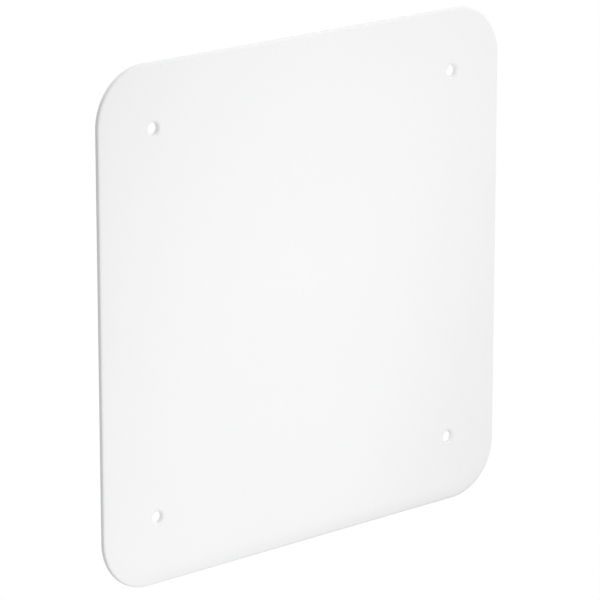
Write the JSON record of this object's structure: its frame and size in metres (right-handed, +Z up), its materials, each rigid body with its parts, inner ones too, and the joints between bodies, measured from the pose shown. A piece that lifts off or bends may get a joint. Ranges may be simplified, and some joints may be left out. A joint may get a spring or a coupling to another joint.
{
  "type": "traffic convex mirror panel",
  "caption": "Thin rounded-square convex mirror panel with a shallow crowned mirror sheet, soft edges and sleeved screw holes in its corners, fixed flat to a wall.",
  "frame": {"origin": "middle of the flat back face, 2 mm below the middle of the square of screw holes", "axes": "+Z up as the panel hangs, -Y out of the mirror towards the viewer, +Y out of the flat back into the wall, +X to the right of someone who looks into the mirror"},
  "size_m": [0.4, 0.0056, 0.4],
  "materials": {
    "mirror": "silvered acrylic sheet, almost smooth, that reflects a white room as near white",
    "white_sheet": "white satin coated aluminium sheet",
    "white_moulding": "white moulded plastic, half gloss",
    "core_foam": "pale rigid plastic board, matt",
    "seal_rubber": "black rubber tape, matt"
  },
  "bodies": {
    "root": {"mirror_face": "mirror", "shape_core": "core_foam", "rim_seal": "seal_rubber", "back_plate": "white_sheet", "hole_sleeve_top_left": "white_moulding", "hole_sleeve_top_right": "white_moulding", "hole_sleeve_bottom_left": "white_moulding", "hole_sleeve_bottom_right": "white_moulding"}
  },
  "joints": []
}
